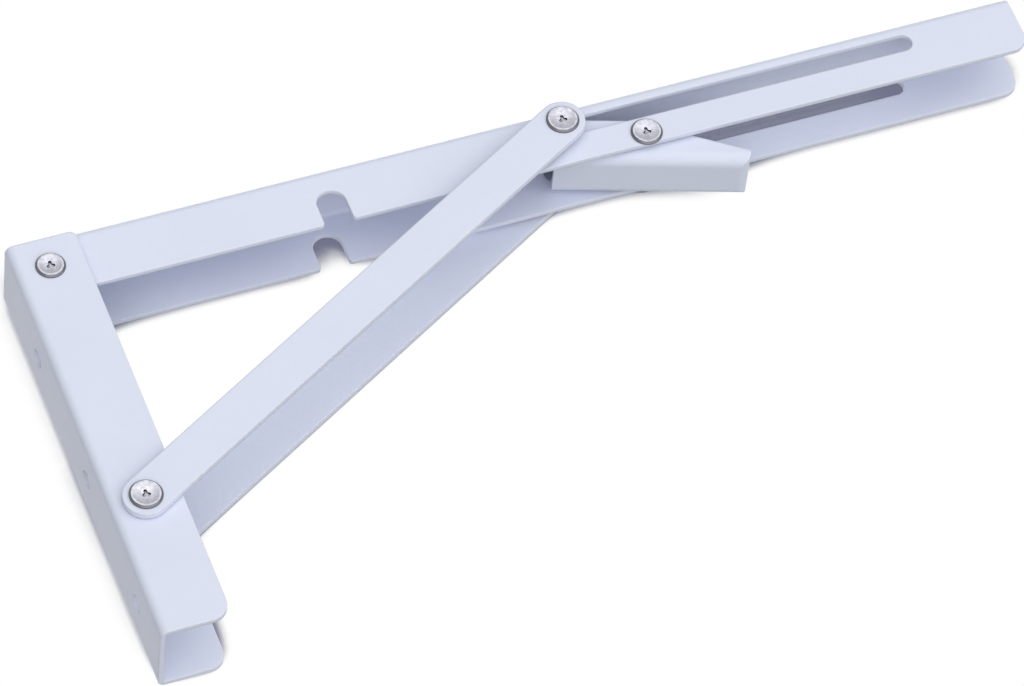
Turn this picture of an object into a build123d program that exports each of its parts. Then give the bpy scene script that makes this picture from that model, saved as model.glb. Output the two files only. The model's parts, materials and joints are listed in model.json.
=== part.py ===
"""Folding shelf bracket: a slotted shelf arm, a wall arm, two brace bars and a latch lever.

Millimetres. +X runs away from the wall along the shelf arm, +Z is up, and Y runs across
the bracket. The origin is on the wall face, midway across, level with the corner pivot.
The bracket is drawn open and locked. "left" is the -Y side.
"""
import os
from math import acos, atan2, cos, degrees, radians, sin, sqrt

from build123d import *

os.makedirs("parts", exist_ok=True)

# ---- driving dimensions ---------------------------------------------------------------
sheet = 1.5                    # channels and lever
bar_sheet = 2.0                # brace bars
bend_inside = 1.0              # inside radius of every fold
nest_gap = 0.3                 # side play between layers that nest

shelf_arm_reach = 298.5        # wall face to free end
shelf_arm_width = 21.8         # over the flanges
shelf_face_height = 10.6       # shelf face above the corner pivot
flange_foot_drop = 8.1         # flange edge below the corner pivot
free_end_radius = 5.0          # lower corner of the flanges at the free end
small_corner = 2.0

wall_arm_depth = 20.0
wall_arm_top = 9.5
wall_arm_bottom = -122.7
wall_arm_corner = 5.0          # lower corner of the flanges

pivot_from_wall = 10.0         # corner and foot pivots
foot_drop = 81.0               # foot pivot below the corner pivot
brace_length = 173.0           # foot pivot to slide pin
brace_width = 12.8

slot_height = 3.8              # slot centreline above the corner pivot
slot_width = 5.7
notch_width = 8.5              # lets the foot rivet in when the arm is folded
notch_top = 2.9
notch_lead_in = 1.0            # rounding at the notch's mouth

lever_pivot_ahead = 22.4       # beyond the slide pin, away from the wall
lever_pivot_below = 8.1        # below the slot centreline
lever_hang = 18.2              # degrees that the handle hangs below the arm
lever_width = 16.8
lever_length = 55.0
lever_pivot_along = 25.7       # from the latch end
lever_pivot_rise = 7.75        # above the lever's outer face
lever_flange = 13.5            # flange height at the latch
lever_flange_run = 22.5        # where the flange starts to taper
lever_handle_flange = 3.8
lever_bend_inside = 2.0
handle_end_radius = 3.0        # web turned up at the handle's end
latch_step = 5.6               # flange height under the slide pin
latch_gap = 0.15               # slide pin to latch face
latch_nose_radius = 2.5

pin_radius = 2.4               # corner and foot rivets
slim_pin_radius = 2.0          # slide and lever rivets
running_fit = 0.05             # radial
end_play = 0.1                 # under the heads of the foot rivet
head_radius = 4.65
corner_head_radius = 4.2
lever_head_radius = 4.5
head_height = 0.9
head_rim = 0.35                # upright part of a head's edge
dish_depth = 0.3
dish_margin = 1.05             # edge of a head to its dished face
mark_depth = 0.3               # three-lobed mark left by the rivet set
mark_length = 1.3
mark_width = 0.95

bush_collar_radius = 3.4
bush_collar_gap = 0.15         # collar to the shelf arm's flange
slide_washer_radius = 3.6
slide_washer_length = 0.4
lever_spacer_radius = 3.0
corner_sleeve_radius = 3.4
sleeve_wall_gap = 0.2          # corner sleeve to the shelf arm's flanges

spring_wire_radius = 0.3
spring_radius = 3.0            # to the middle of the wire
spring_height = 2.4            # first coil to last coil
spring_turns = 3               # whole turns, before the part turn between the two ends
spring_bend = 0.4
spring_start_angle = 90.0      # end in the rivet, turned about +Y from +X
spring_hook_run = 0.8          # coil to the bend of the end in the rivet
spring_tip_radius = 0.6        # rivet's axis to the tip
spring_hole_radius = 0.45
spring_foot_start = 11.0       # lever pivot to the foot that lies on the lever's web
spring_foot_length = 6.0
spring_foot_gap = 0.1

screw_hole_radius = 2.75
wall_screw_heights = (-20.0, -62.0, -104.0)
shelf_screw_places = (40.0, 120.0, 280.0)

# ---- sizes and places worked out from them ---------------------------------------------
bend_outside = bend_inside + sheet
shelf_half = shelf_arm_width / 2
shelf_inner = shelf_half - sheet
wall_inner = shelf_half + nest_gap
wall_half = wall_inner + sheet
bar_inner = wall_half + nest_gap
bar_outer = bar_inner + bar_sheet
lever_half = lever_width / 2

slide_rest = sqrt(brace_length**2 - (foot_drop + slot_height) ** 2)
slide_folded = foot_drop + sqrt(brace_length**2 - slot_height**2)
corner_pivot = Vector(pivot_from_wall, 0, 0)
foot_pivot = Vector(pivot_from_wall, 0, -foot_drop)
slide_pin = Vector(pivot_from_wall + slide_rest, 0, slot_height)
slot_end = Vector(pivot_from_wall + slide_folded, 0, slot_height)
lever_pivot = slide_pin + Vector(lever_pivot_ahead, 0, -lever_pivot_below)
notch_centre = pivot_from_wall + foot_drop
notch_foot = flange_foot_drop + notch_top - notch_width / 2     # notch's round end to its mouth
across = 2 * bar_outer         # long enough to cut through every layer

lever_axis = Vector(cos(radians(lever_hang)), 0, -sin(radians(lever_hang)))
lever_rise = Vector(sin(radians(lever_hang)), 0, cos(radians(lever_hang)))
lever_end = lever_pivot - lever_axis * lever_pivot_along - lever_rise * lever_pivot_rise
pin_along = (slide_pin - lever_end).dot(lever_axis)
latch_face = pin_along + slim_pin_radius + latch_gap
lever_side = Plane(origin=lever_end, x_dir=lever_axis, z_dir=(0, -1, 0))
lever_section = Plane(origin=lever_end, x_dir=(0, 1, 0), z_dir=lever_axis)


def side_plane(point):
    """Plane across the bracket through a pivot, seen from the left."""
    return Plane(origin=point, x_dir=(1, 0, 0), z_dir=(0, -1, 0))


def channel(width, depth):
    """U section with its web along the bottom edge at y = 0 and open towards +y."""
    with BuildSketch(mode=Mode.PRIVATE) as outer:
        Rectangle(width, depth, align=(Align.CENTER, Align.MIN))
        fillet(outer.vertices().group_by(Axis.Y)[0], bend_outside)
    with BuildSketch(mode=Mode.PRIVATE) as inner:
        with Locations((0, sheet)):
            Rectangle(width - 2 * sheet, depth, align=(Align.CENTER, Align.MIN))
        fillet(inner.vertices().group_by(Axis.Y)[0], bend_inside)
    add(outer.sketch)
    add(inner.sketch, mode=Mode.SUBTRACT)


def corner_at(sketch, x, y):
    """The sketch's vertex nearest to a point of its own plane."""
    return sketch.vertices().sort_by_distance((x, y, 0))[0]


def rivet_section(half_grip, head, shank, start):
    """Half section of a rivet's end: x along the rivet from start, y outwards."""
    face = half_grip + head_height
    dish_radius = head - dish_margin
    with BuildLine() as outline:
        Polyline(
            (start, 0),
            (start, shank),
            (half_grip, shank),
            (half_grip, head),
            (half_grip + head_rim, head),
            (face, head - (head_height - head_rim)),
            (face, dish_radius),
        )
        ThreePointArc(
            (face, dish_radius),
            (face - dish_depth * 0.75, dish_radius / 2),
            (face - dish_depth, 0),
        )
        Line((face - dish_depth, 0), (start, 0))
    make_face(outline.edges())


def mark_head(pivot, half_grip, side):
    """Sink the three-lobed mark of the rivet set into a head's dished face."""
    floor = half_grip + head_height - dish_depth - mark_depth
    floor_plane = Plane(origin=pivot + Vector(0, side * floor, 0), x_dir=(1, 0, 0), z_dir=(0, side, 0))
    with BuildSketch(floor_plane) as mark:
        with PolarLocations(mark_length / 2, 3, start_angle=90):
            SlotOverall(mark_length, mark_width)
    extrude(mark.sketch, amount=head_height, mode=Mode.SUBTRACT)


def pivot_hole(point, radius):
    """Hole across the whole bracket at a pivot."""
    with BuildSketch(side_plane(point)) as hole:
        Circle(radius)
    extrude(hole.sketch, amount=across, both=True, mode=Mode.SUBTRACT)


# ---- wall arm: folded channel, web against the wall --------------------------------------
with BuildPart() as wall_arm:
    with BuildSketch(Plane(origin=(0, 0, wall_arm_bottom), x_dir=(0, -1, 0), z_dir=(0, 0, 1))):
        channel(2 * wall_half, wall_arm_depth)
    extrude(amount=wall_arm_top - wall_arm_bottom)
    with BuildSketch(side_plane(Vector(0, 0, 0))) as wall_arm_outline:
        with Locations((0, wall_arm_bottom)):
            Rectangle(wall_arm_depth, wall_arm_top - wall_arm_bottom, align=(Align.MIN, Align.MIN))
        fillet(corner_at(wall_arm_outline, wall_arm_depth, wall_arm_bottom), wall_arm_corner)
        fillet(corner_at(wall_arm_outline, wall_arm_depth, wall_arm_top), small_corner)
    extrude(amount=across, both=True, mode=Mode.INTERSECT)
    pivot_hole(corner_pivot, pin_radius)
    pivot_hole(foot_pivot, pin_radius)
    with BuildSketch(Plane.YZ):
        with Locations(*[(0, height) for height in wall_screw_heights]):
            Circle(screw_hole_radius)
    extrude(amount=sheet, mode=Mode.SUBTRACT)
wall_arm.part.label = "wall_arm"

# ---- shelf arm: folded channel, web under the shelf, slotted flanges ----------------------
shelf_arm_start = pivot_from_wall - flange_foot_drop
with BuildPart() as shelf_arm:
    with BuildSketch(Plane(origin=(0, 0, shelf_face_height), x_dir=(0, 1, 0), z_dir=(-1, 0, 0))):
        channel(shelf_arm_width, shelf_face_height + flange_foot_drop)
    extrude(amount=-shelf_arm_reach)
    with BuildSketch(side_plane(Vector(0, 0, 0))):
        with BuildLine():
            Polyline(
                (pivot_from_wall, -flange_foot_drop),
                (shelf_arm_reach - free_end_radius, -flange_foot_drop),
            )
            RadiusArc(
                (shelf_arm_reach - free_end_radius, -flange_foot_drop),
                (shelf_arm_reach, free_end_radius - flange_foot_drop),
                -free_end_radius,
            )
            Polyline(
                (shelf_arm_reach, free_end_radius - flange_foot_drop),
                (shelf_arm_reach, shelf_face_height - small_corner),
            )
            RadiusArc(
                (shelf_arm_reach, shelf_face_height - small_corner),
                (shelf_arm_reach - small_corner, shelf_face_height),
                -small_corner,
            )
            Polyline(
                (shelf_arm_reach - small_corner, shelf_face_height),
                (shelf_arm_start, shelf_face_height),
                (shelf_arm_start, 0),
            )
            RadiusArc((shelf_arm_start, 0), (pivot_from_wall, -flange_foot_drop), -flange_foot_drop)
        make_face()
    extrude(amount=across, both=True, mode=Mode.INTERSECT)
    pivot_hole(corner_pivot, pin_radius + running_fit)
    pivot_hole(lever_pivot, slim_pin_radius)
    with BuildSketch(side_plane((slide_pin + slot_end) / 2)):
        SlotCenterToCenter(slide_folded - slide_rest, slot_width)
    extrude(amount=across, both=True, mode=Mode.SUBTRACT)
    with BuildSketch(side_plane(Vector(notch_centre, 0, notch_top - notch_width / 2))):
        Circle(notch_width / 2)
        with BuildLine():
            Polyline(
                (-notch_width / 2, 0),
                (-notch_width / 2, notch_lead_in - notch_foot),
            )
            RadiusArc(
                (-notch_width / 2, notch_lead_in - notch_foot),
                (-notch_width / 2 - notch_lead_in, -notch_foot),
                notch_lead_in,
            )
            Polyline(
                (-notch_width / 2 - notch_lead_in, -notch_foot),
                (notch_width / 2 + notch_lead_in, -notch_foot),
            )
            RadiusArc(
                (notch_width / 2 + notch_lead_in, -notch_foot),
                (notch_width / 2, notch_lead_in - notch_foot),
                notch_lead_in,
            )
            Polyline(
                (notch_width / 2, notch_lead_in - notch_foot),
                (notch_width / 2, 0),
                (-notch_width / 2, 0),
            )
        make_face()
    extrude(amount=across, both=True, mode=Mode.SUBTRACT)
    with BuildSketch(Plane.XY.offset(shelf_face_height)):
        with Locations(*[(place, 0) for place in shelf_screw_places]):
            Circle(screw_hole_radius)
    extrude(amount=-sheet, mode=Mode.SUBTRACT)
shelf_arm.part.label = "shelf_arm"

# ---- brace bars: one flat bar outside each flange ------------------------------------------
brace_run = slide_pin - foot_pivot
brace_slope = degrees(atan2(brace_run.Z, brace_run.X))
brace_bars = []
for name, side in (("brace_bar_left", -1), ("brace_bar_right", 1)):
    bar_plane = side_plane((foot_pivot + slide_pin) / 2 + Vector(0, side * bar_inner, 0))
    with BuildPart() as brace_bar:
        with BuildSketch(bar_plane):
            SlotCenterToCenter(brace_length, brace_width, rotation=brace_slope)
        extrude(amount=-side * bar_sheet)
        pivot_hole(foot_pivot, pin_radius + running_fit)
        pivot_hole(slide_pin, slim_pin_radius)
    brace_bar.part.label = name
    brace_bars.append(brace_bar.part)

# ---- release lever: folded channel inside the shelf arm -------------------------------------
hollow_end = lever_length - sheet
with BuildPart() as release_lever:
    with BuildSketch(lever_section) as envelope:
        Rectangle(lever_width, lever_flange, align=(Align.CENTER, Align.MIN))
        fillet(envelope.vertices().group_by(Axis.Y)[0], lever_bend_inside + sheet)
    extrude(amount=lever_length)
    with BuildSketch(lever_side) as lever_outline:
        with BuildLine():
            Polyline(
                (0, 0),
                (lever_length, 0),
                (lever_length, lever_handle_flange),
                (lever_flange_run, lever_flange),
                (latch_face, lever_flange),
                (latch_face, latch_step),
                (0, latch_step),
                close=True,
            )
        make_face()
        fillet(corner_at(lever_outline, lever_length, 0), handle_end_radius)
        fillet(corner_at(lever_outline, latch_face, lever_flange), latch_nose_radius)
        fillet(corner_at(lever_outline, 0, latch_step), small_corner)
        fillet(corner_at(lever_outline, lever_flange_run, lever_flange), lever_flange_run)
    extrude(amount=across, both=True, mode=Mode.INTERSECT)
    with BuildPart(mode=Mode.SUBTRACT):
        with BuildSketch(lever_section) as hollow:
            with Locations((0, sheet)):
                Rectangle(lever_width - 2 * sheet, lever_flange, align=(Align.CENTER, Align.MIN))
            fillet(hollow.vertices().group_by(Axis.Y)[0], lever_bend_inside)
        extrude(amount=hollow_end)
        with BuildSketch(lever_side) as hollow_outline:
            with Locations((0, sheet)):
                Rectangle(hollow_end, lever_flange, align=(Align.MIN, Align.MIN))
            fillet(corner_at(hollow_outline, hollow_end, sheet), handle_end_radius - sheet)
        extrude(amount=across, both=True, mode=Mode.INTERSECT)
    pivot_hole(lever_pivot, slim_pin_radius + running_fit)
release_lever.part.label = "release_lever"

# ---- route of the lever spring's wire ---------------------------------------------------------
foot_rise = sheet + spring_foot_gap + spring_wire_radius - lever_pivot_rise
foot_run = lever_axis * spring_foot_start + lever_rise * foot_rise
spring_end_angle = degrees(atan2(-foot_run.Z, foot_run.X) - acos(spring_radius / foot_run.length))
coil_turns = spring_turns + (spring_end_angle - spring_start_angle) % 360 / 360
coil_plane = Plane(
    origin=lever_pivot - Vector(0, spring_height / 2, 0),
    x_dir=(cos(radians(spring_start_angle)), 0, -sin(radians(spring_start_angle))),
    z_dir=(0, 1, 0),
)
coil = coil_plane * Helix(spring_height / coil_turns, spring_height, spring_radius)
rivet_corner = coil @ 0 - (coil % 0) * spring_hook_run
rivet_axis_point = Vector(lever_pivot.X, rivet_corner.Y, lever_pivot.Z)
spring_tip = rivet_axis_point + (rivet_corner - rivet_axis_point).normalized() * spring_tip_radius
foot_start = Vector(lever_pivot.X, (coil @ 1).Y, lever_pivot.Z) + foot_run
foot_end = foot_start + lever_axis * spring_foot_length

# ---- rivets ----------------------------------------------------------------------------------
through_rivets = []
for name, pivot, half_grip, head, shank in (
    ("corner_rivet", corner_pivot, wall_half, corner_head_radius, pin_radius),
    ("foot_rivet", foot_pivot, bar_outer + end_play, head_radius, pin_radius),
    ("lever_rivet", lever_pivot, shelf_half, lever_head_radius, slim_pin_radius),
):
    with BuildPart() as rivet:
        with BuildSketch(Plane(origin=pivot, x_dir=(0, 1, 0), z_dir=(1, 0, 0))):
            rivet_section(half_grip, head, shank, 0)
        revolve(axis=Axis(pivot, (0, 1, 0)))
        mirror(about=Plane.XZ)
        mark_head(pivot, half_grip, 1)
        mark_head(pivot, half_grip, -1)
        if name == "lever_rivet":      # cross hole for the spring's inner end
            with BuildSketch(Plane(origin=rivet_axis_point, z_dir=rivet_corner - rivet_axis_point)):
                Circle(spring_hole_radius)
            extrude(amount=head, both=True, mode=Mode.SUBTRACT)
    rivet.part.label = name
    through_rivets.append(rivet.part)

# ---- slide rivets, and the bushes and washers that ride in the slots --------------------------
collar_face = shelf_half + bush_collar_gap
washer_face = shelf_inner - nest_gap
slide_pieces = []
for word, side in (("left", -1), ("right", 1)):
    along_rivet = Plane(origin=slide_pin, x_dir=(0, side, 0), z_dir=(-side, 0, 0))
    with BuildPart() as slide_rivet:
        with BuildSketch(along_rivet):
            rivet_section(bar_outer, head_radius, slim_pin_radius, bar_inner)
        revolve(axis=Axis(slide_pin, (0, 1, 0)))
        mark_head(slide_pin, bar_outer, side)
    slide_rivet.part.label = f"slide_rivet_{word}"

    outwards = Plane(origin=slide_pin, x_dir=(1, 0, 0), z_dir=(0, side, 0))
    with BuildPart() as slide_bush:
        with BuildSketch(outwards.offset(collar_face)):
            Circle(bush_collar_radius)
        extrude(amount=bar_inner - nest_gap - collar_face)
        with BuildSketch(outwards.offset(washer_face)):
            Circle(slot_width / 2 - running_fit)
        extrude(amount=collar_face - washer_face)
        with BuildSketch(outwards.offset(washer_face)):
            Circle(slim_pin_radius)
        extrude(amount=-slide_washer_length)
    slide_bush.part.label = f"slide_bush_{word}"

    with BuildPart() as slide_washer:
        with BuildSketch(outwards.offset(washer_face)):
            Circle(slide_washer_radius)
            Circle(slim_pin_radius, mode=Mode.SUBTRACT)
        extrude(amount=-slide_washer_length)
    slide_washer.part.label = f"slide_washer_{word}"
    slide_pieces += [slide_rivet.part, slide_bush.part, slide_washer.part]

# ---- spacers ------------------------------------------------------------------------------------
sleeve_half = shelf_inner - sleeve_wall_gap
spacer_start = lever_half + end_play
spacers = []
for name, pivot, near, far, outer_radius, bore_radius in (
    ("corner_sleeve", corner_pivot, -sleeve_half, sleeve_half, corner_sleeve_radius, pin_radius),
    ("lever_spacer_left", lever_pivot, -shelf_inner, -spacer_start, lever_spacer_radius, slim_pin_radius),
    ("lever_spacer_right", lever_pivot, spacer_start, shelf_inner, lever_spacer_radius, slim_pin_radius),
):
    with BuildPart() as spacer:
        with BuildSketch(side_plane(pivot + Vector(0, near, 0))):
            Circle(outer_radius)
            Circle(bore_radius, mode=Mode.SUBTRACT)
        extrude(amount=near - far)
    spacer.part.label = name
    spacers.append(spacer.part)

# ---- lever spring: coiled round the lever rivet, one end in it, a foot on the lever's web -------
with BuildPart() as lever_spring:
    with BuildLine() as wire:
        FilletPolyline(spring_tip, rivet_corner, coil @ 0, radius=spring_bend)
        add(coil)
        FilletPolyline(coil @ 1, foot_start, foot_end, radius=spring_bend)
    with BuildSketch(Plane(origin=spring_tip, z_dir=rivet_corner - spring_tip)):
        Circle(spring_wire_radius)
    sweep(path=wire.wire())
lever_spring.part.label = "lever_spring"

pieces = [wall_arm.part, shelf_arm.part, release_lever.part, lever_spring.part]
pieces += brace_bars + through_rivets + slide_pieces + spacers
for piece in pieces:
    export_step(piece, f"parts/{piece.label}.step")
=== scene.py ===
"""Looks for the folding shelf bracket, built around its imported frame.

Metres, in the part's own frame: +X away from the wall, +Z up, Y across. The bracket is
pictured lying on its right side, so the pale floor is the upright plane just beyond it.
"""
import json
import math

import bpy
from mathutils import Matrix, Vector


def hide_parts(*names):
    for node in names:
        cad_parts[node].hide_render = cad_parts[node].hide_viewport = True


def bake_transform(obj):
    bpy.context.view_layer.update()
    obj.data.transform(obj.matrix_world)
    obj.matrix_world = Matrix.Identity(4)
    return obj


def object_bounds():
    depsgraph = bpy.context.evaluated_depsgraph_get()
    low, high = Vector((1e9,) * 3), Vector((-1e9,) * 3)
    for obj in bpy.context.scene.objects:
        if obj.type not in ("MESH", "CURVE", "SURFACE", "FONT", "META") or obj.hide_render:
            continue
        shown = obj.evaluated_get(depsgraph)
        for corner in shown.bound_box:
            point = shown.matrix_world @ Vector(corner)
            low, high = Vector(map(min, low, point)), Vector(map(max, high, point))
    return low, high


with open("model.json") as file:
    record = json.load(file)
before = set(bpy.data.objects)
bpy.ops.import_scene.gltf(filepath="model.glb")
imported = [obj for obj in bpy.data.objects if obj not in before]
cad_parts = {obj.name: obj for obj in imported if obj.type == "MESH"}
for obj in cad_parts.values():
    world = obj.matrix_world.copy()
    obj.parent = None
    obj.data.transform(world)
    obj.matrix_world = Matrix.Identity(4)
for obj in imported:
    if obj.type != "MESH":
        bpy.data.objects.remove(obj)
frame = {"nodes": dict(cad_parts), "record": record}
cad_low, cad_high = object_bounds()
record = frame["record"]
MM = 0.001

# ---- camera: fitted to the viewing angle, with its roll ------------------------------------
AZIMUTH = math.radians(-17.777)
ELEVATION = math.radians(-31.884)
ROLL = math.radians(-24.214)
DISTANCE = 1.90305
TARGET = Vector((0.125422, 0.0, -0.05383))
SENSOR = 36.0
LENS = 244.08
NEAR_CLIP = 0.05
FAR_CLIP = 50.0


def camera_axes(azimuth, elevation, roll):
    """Right, up and back axes of a camera that looks at the target."""
    back = Vector((
        math.sin(azimuth) * math.cos(elevation),
        -math.cos(azimuth) * math.cos(elevation),
        math.sin(elevation),
    ))
    level_right = (-back).cross(Vector((0, 0, 1))).normalized()
    level_up = level_right.cross(-back)
    right = math.cos(roll) * level_right + math.sin(roll) * level_up
    up = -math.sin(roll) * level_right + math.cos(roll) * level_up
    return right, up, back


right, up, back = camera_axes(AZIMUTH, ELEVATION, ROLL)
camera_data = bpy.data.cameras.new("camera")
camera_data.lens = LENS
camera_data.sensor_width = SENSOR
camera_data.clip_start = NEAR_CLIP
camera_data.clip_end = FAR_CLIP
camera_data.dof.use_dof = False
camera = bpy.data.objects.new("camera", camera_data)
bpy.context.scene.collection.objects.link(camera)
turn = Matrix((right, up, back)).transposed().to_4x4()
camera.matrix_world = Matrix.Translation(TARGET + back * DISTANCE) @ turn
bpy.context.scene.camera = camera
bpy.context.scene.view_settings.view_transform = "Standard"


# ---- node helpers ----------------------------------------------------------------------------
class Nodes:
    """A material's node tree, with short ways to add and join its nodes."""

    def __init__(self, tree):
        self.tree = tree
        tree.nodes.clear()

    def add(self, kind, **values):
        node = self.tree.nodes.new(kind)
        for name, value in values.items():
            setattr(node, name, value)
        return node

    def link(self, source, target):
        self.tree.links.new(source, target)

    def feed(self, socket, value):
        """Link an output to a socket, or set the socket to a plain value."""
        if isinstance(value, bpy.types.NodeSocket):
            self.link(value, socket)
        else:
            socket.default_value = value

    def math(self, operation, *values, clamp=False):
        node = self.add("ShaderNodeMath", operation=operation, use_clamp=clamp)
        for socket, value in zip(node.inputs, values):
            self.feed(socket, value)
        return node.outputs[0]

    def ramp(self, value, start, end, out_start=0.0, out_end=1.0):
        """Linear step of a value, clamped at both ends."""
        node = self.add("ShaderNodeMapRange", clamp=True)
        for name, number in (
            ("Value", value),
            ("From Min", start),
            ("From Max", end),
            ("To Min", out_start),
            ("To Max", out_end),
        ):
            self.feed(node.inputs[name], number)
        return node.outputs["Result"]

    def noise(self, vector, scale, detail=2.0, roughness=0.5):
        node = self.add("ShaderNodeTexNoise")
        for name, value in (
            ("Vector", vector),
            ("Scale", scale),
            ("Detail", detail),
            ("Roughness", roughness),
        ):
            self.feed(node.inputs[name], value)
        return node.outputs["Fac"]

    def mix(self, factor, *colours):
        """Mix of two colours, each a plain colour or an output."""
        node = self.add("ShaderNodeMix", data_type="RGBA")
        self.link(factor, node.inputs["Factor"])
        ends = [socket for socket in node.inputs if socket.type == "RGBA"]
        for socket, colour in zip(ends, colours):
            self.feed(socket, (*colour, 1.0) if isinstance(colour, tuple) else colour)
        return next(socket for socket in node.outputs if socket.type == "RGBA")

    def bumped(self, height, normal, strength, depth):
        bump = self.add("ShaderNodeBump")
        bump.inputs["Strength"].default_value = strength
        bump.inputs["Distance"].default_value = depth
        self.link(height, bump.inputs["Height"])
        self.link(normal, bump.inputs["Normal"])
        return bump.outputs["Normal"]

    def surface(self, colour, roughness, normal):
        """Principled shader on the material's output."""
        shader = self.add("ShaderNodeBsdfPrincipled")
        self.link(colour, shader.inputs["Base Color"])
        self.link(roughness, shader.inputs["Roughness"])
        self.link(normal, shader.inputs["Normal"])
        self.link(shader.outputs["BSDF"], self.add("ShaderNodeOutputMaterial").inputs["Surface"])
        return shader


def new_material(name):
    material = bpy.data.materials.new(name)
    material.use_nodes = True
    return material, Nodes(material.node_tree)


EDGE_SAMPLES = 6
EDGE_COSINES = (0.995, 0.9)    # true normal to rounded normal: flat, then sharp


def edge_mask(n, radius):
    """1 on sharp edges and 0 on flats, and the rounded normal that finds them."""
    bevel = n.add("ShaderNodeBevel", samples=EDGE_SAMPLES)
    bevel.inputs["Radius"].default_value = radius
    geometry = n.add("ShaderNodeNewGeometry")
    dot = n.add("ShaderNodeVectorMath", operation="DOT_PRODUCT")
    n.link(bevel.outputs["Normal"], dot.inputs[0])
    n.link(geometry.outputs["Normal"], dot.inputs[1])
    return n.ramp(dot.outputs["Value"], *EDGE_COSINES), bevel.outputs["Normal"]


# ---- powder coat -------------------------------------------------------------------------------
COAT = (0.705, 0.745, 0.875)
# lighter colour on cut edges: a painted highlight where the rounded edges catch the light
EDGE_HIGHLIGHT = (0.83, 0.86, 0.94)
COAT_THICK = (0.735, 0.775, 0.905)
COAT_EDGE_RADIUS = 0.7 * MM
EDGE_HIGHLIGHT_MIX = 0.8
COAT_ROUGHNESS = (0.50, 0.60)
COAT_SPECULAR = 0.10
BLOTCH_MIX = 0.5
SPECK_MIX = 0.25
GRIT_SHARE = 0.22
PEEL_STRENGTH = 0.35
PEEL_DEPTH = 0.06 * MM
# noise cells to the metre
BLOTCH_SCALE = 38.0
SPECK_SCALE = 420.0
PEEL_SCALE = 760.0
GRIT_SCALE = 2600.0


def powder_coat():
    """Satin powder coat: fine orange peel, faint tone changes, and a painted highlight on cut
    edges.
    """
    material, n = new_material("powder_coat")
    place = n.add("ShaderNodeTexCoord").outputs["Object"]
    edges, rounded = edge_mask(n, COAT_EDGE_RADIUS)
    tone = n.noise(place, BLOTCH_SCALE, 3.0, 0.55)
    fine = n.noise(place, SPECK_SCALE, 2.0, 0.6)
    blotch = n.math("MULTIPLY", n.ramp(tone, 0.35, 0.7), BLOTCH_MIX)
    speck = n.math("MULTIPLY", n.ramp(fine, 0.45, 0.75), SPECK_MIX)
    film = n.mix(n.math("ADD", blotch, speck, clamp=True), COAT, COAT_THICK)
    # painted highlight: sharp cut edges are mixed towards the lighter edge colour
    colour = n.mix(n.math("MULTIPLY", edges, EDGE_HIGHLIGHT_MIX), film, EDGE_HIGHLIGHT)
    peel = n.noise(place, PEEL_SCALE, 2.5, 0.55)
    grit = n.noise(place, GRIT_SCALE, 1.0, 0.5)
    height = n.math("ADD", peel, n.math("MULTIPLY", grit, GRIT_SHARE))
    shader = n.surface(
        colour,
        n.ramp(peel, 0.3, 0.7, *COAT_ROUGHNESS),
        n.bumped(height, rounded, PEEL_STRENGTH, PEEL_DEPTH),
    )
    shader.inputs["Specular IOR Level"].default_value = COAT_SPECULAR
    return material


# ---- zinc plate and drawn wire -------------------------------------------------------------------
PLATE_EDGE_RADIUS = 0.12 * MM
CLOUD_SCALE = 900.0            # noise cells to the metre
GRAIN_SCALE = 4200.0
GRAIN_STRENGTH = 0.25
GRAIN_DEPTH = 0.02 * MM
ROUGHNESS_SPREAD = 0.12
# how far a head's face looks along Y, for painted shade: flat to dished, and face to outer ring
DISH_SHADE_FACING = (0.999, 0.987)
RIM_SHADE_FACING = (0.96, 0.85)
DISH_SHADE_MIX = 0.7
# near-black for the sunk mark's hollow: painted shade, laid on by ambient occlusion
MARK_SHADE = (0.04, 0.04, 0.045)
MARK_REACH = 0.6 * MM
MARK_SAMPLES = 8
MARK_SHADE_OPENNESS = (0.97, 0.80)   # ambient occlusion: plain face, then inside the sunk mark, where the painted shade is full


def plated(name, bright, dull, roughness, rim_shade=None):
    """Zinc plate: streaked grain and, on heads, painted shade: a dark outer ring and a duller dish
    slope by which way the face looks, and a dark sunk mark from ambient occlusion.
    """
    material, n = new_material(name)
    coords = n.add("ShaderNodeTexCoord")
    place = coords.outputs["Object"]
    rounded = edge_mask(n, PLATE_EDGE_RADIUS)[1]
    cloud = n.noise(place, CLOUD_SCALE, 3.0, 0.6)
    grain = n.noise(place, GRAIN_SCALE, 2.0, 0.6)
    colour = n.mix(n.ramp(cloud, 0.38, 0.66), bright, dull)
    if rim_shade:
        # painted shade: the head's sloped dish and its outer ring are darkened by which way they
        # face
        parts = n.add("ShaderNodeSeparateXYZ")
        n.link(coords.outputs["Normal"], parts.inputs[0])
        facing = n.math("ABSOLUTE", parts.outputs["Y"])
        dish_shade = n.math("MULTIPLY", n.ramp(facing, *DISH_SHADE_FACING), DISH_SHADE_MIX)
        colour = n.mix(n.ramp(facing, *RIM_SHADE_FACING), n.mix(dish_shade, colour, dull), rim_shade)
        # painted shade: the sunk mark's hollow is darkened by ambient occlusion
        hollow = n.add("ShaderNodeAmbientOcclusion", samples=MARK_SAMPLES, only_local=True)
        hollow.inputs["Distance"].default_value = MARK_REACH
        colour = n.mix(n.ramp(hollow.outputs["AO"], *MARK_SHADE_OPENNESS), colour, MARK_SHADE)
    shader = n.surface(
        colour,
        n.ramp(cloud, 0.3, 0.7, roughness, roughness + ROUGHNESS_SPREAD),
        n.bumped(grain, rounded, GRAIN_STRENGTH, GRAIN_DEPTH),
    )
    shader.inputs["Metallic"].default_value = 1.0
    return material


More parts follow.
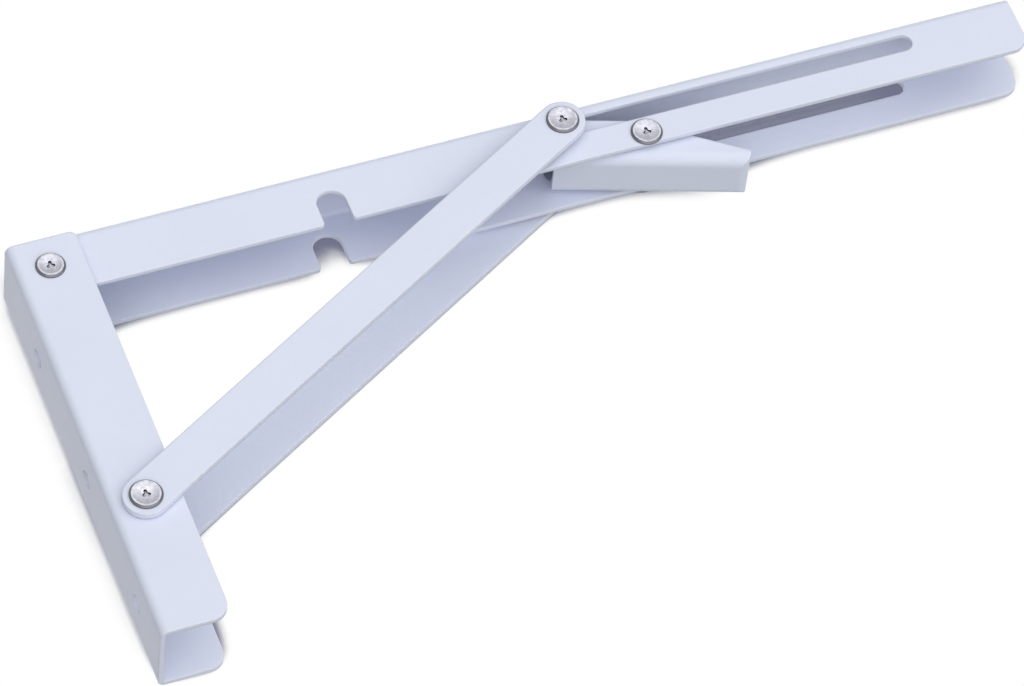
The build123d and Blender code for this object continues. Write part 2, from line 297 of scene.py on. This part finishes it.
finishes = {
    "coated_steel": powder_coat(),
    "plated_rivet": plated(
        # dark colour for the heads' outer ring: painted shade
        "plated_rivet", (0.57, 0.57, 0.63), (0.38, 0.38, 0.43), 0.24, rim_shade=(0.14, 0.14, 0.16)
    ),
    "plated_spacer": plated("plated_spacer", (0.50, 0.51, 0.53), (0.36, 0.37, 0.39), 0.34),
    "spring_steel": plated("spring_steel", (0.34, 0.34, 0.36), (0.22, 0.22, 0.24), 0.30),
}
for subpart in record["subparts"]:
    node = frame["nodes"][subpart["node"]]
    for place in node.material_slots:
        place.material = finishes[subpart["material_slot"]]

# ---- lever spring: a rigid copy, between its end in the rivet and its foot on the lever ----------
spring_mesh = frame["nodes"]["lever_spring"].data.copy()
spring = bpy.data.objects.new("wound_spring", spring_mesh)
bpy.context.scene.collection.objects.link(spring)
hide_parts("lever_spring")
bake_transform(spring)

# ---- floor: the bracket lies on its right side ---------------------------------------------------
FLOOR_SIZE = 8.0
FLOOR_GAP = 0.2 * MM
WHITE = (1.0, 1.0, 1.0)
SHADE = (0.165, 0.175, 0.255)
SHADE_REACH = 30.0 * MM
SHADE_SAMPLES = 48
SHADE_OPENNESS = (0.65, 0.78)          # ambient occlusion: full shade, then none
SHADE_LEAN = (-0.35, -0.50, -0.80)     # the floor's light comes from this side
FADE_REACH = 16.0 * MM                 # the shade fades out this far from the bracket
FADE_SAMPLES = 24
FADE_OPENNESS = (0.76, 1.0)
half_floor = FLOOR_SIZE / 2
floor_mesh = bpy.data.meshes.new("floor")
floor_mesh.from_pydata(
    [(x, 0.0, z) for x, z in (
        (-half_floor, -half_floor),
        (half_floor, -half_floor),
        (half_floor, half_floor),
        (-half_floor, half_floor),
    )],
    [],
    [(0, 1, 2, 3)],
)
floor = bpy.data.objects.new("floor", floor_mesh)
floor.location = (0.0, cad_high.y + FLOOR_GAP, 0.0)
bpy.context.scene.collection.objects.link(floor)
floor.visible_diffuse = False
floor.visible_glossy = False
floor.visible_transmission = False
floor.visible_shadow = False

floor_material, n = new_material("floor")
contact = n.add("ShaderNodeAmbientOcclusion", samples=SHADE_SAMPLES)
contact.inputs["Distance"].default_value = SHADE_REACH
towards_light = n.add("ShaderNodeCombineXYZ")
for socket, value in zip(towards_light.inputs, SHADE_LEAN):
    socket.default_value = value
n.link(towards_light.outputs["Vector"], contact.inputs["Normal"])
near = n.add("ShaderNodeAmbientOcclusion", samples=FADE_SAMPLES)
near.inputs["Distance"].default_value = FADE_REACH
shaded = n.ramp(contact.outputs["AO"], *SHADE_OPENNESS)
faded = n.ramp(near.outputs["AO"], *FADE_OPENNESS)
lit = n.add("ShaderNodeEmission")
n.link(n.mix(n.math("MAXIMUM", shaded, faded), SHADE, WHITE), lit.inputs["Color"])
clear = n.add("ShaderNodeBsdfTransparent")
side = n.add("ShaderNodeMixShader")
n.link(n.add("ShaderNodeNewGeometry").outputs["Backfacing"], side.inputs["Fac"])
n.link(lit.outputs["Emission"], side.inputs[1])
n.link(clear.outputs["BSDF"], side.inputs[2])
n.link(side.outputs["Shader"], n.add("ShaderNodeOutputMaterial").inputs["Surface"])
floor_mesh.materials.append(floor_material)

# ---- light ---------------------------------------------------------------------------------------
AMBIENT = 0.35                 # what the surround gives to matt surfaces
# each lamp's name, the way it shines, its strength and its width in degrees
LAMPS = (
    ("key", (-0.18, 1.0, 0.44), 2.2, 110.0),
    ("rear", (-0.15, -0.85, -1.0), 1.5, 60.0),
    ("below", (0.3, 0.2, 1.0), 0.12, 60.0),
)
for name, towards, strength, width in LAMPS:
    lamp_data = bpy.data.lights.new(name, "SUN")
    lamp_data.energy = strength
    lamp_data.angle = math.radians(width)
    lamp = bpy.data.objects.new(name, lamp_data)
    lamp.rotation_mode = "QUATERNION"
    lamp.rotation_quaternion = Vector(towards).to_track_quat("-Z", "Y")
    bpy.context.scene.collection.objects.link(lamp)

world = bpy.data.worlds.new("world")
bpy.context.scene.world = world
world.use_nodes = True
n = Nodes(world.node_tree)
path = n.add("ShaderNodeLightPath")
seen = n.math("ADD", path.outputs["Is Camera Ray"], path.outputs["Is Glossy Ray"], clamp=True)
seen = n.math("ADD", seen, path.outputs["Is Transmission Ray"], clamp=True)
surround = n.add("ShaderNodeBackground")
surround.inputs["Color"].default_value = (*WHITE, 1.0)
n.link(n.ramp(seen, 0.0, 1.0, AMBIENT, 1.0), surround.inputs["Strength"])
n.link(surround.outputs["Background"], n.add("ShaderNodeOutputWorld").inputs["Surface"])
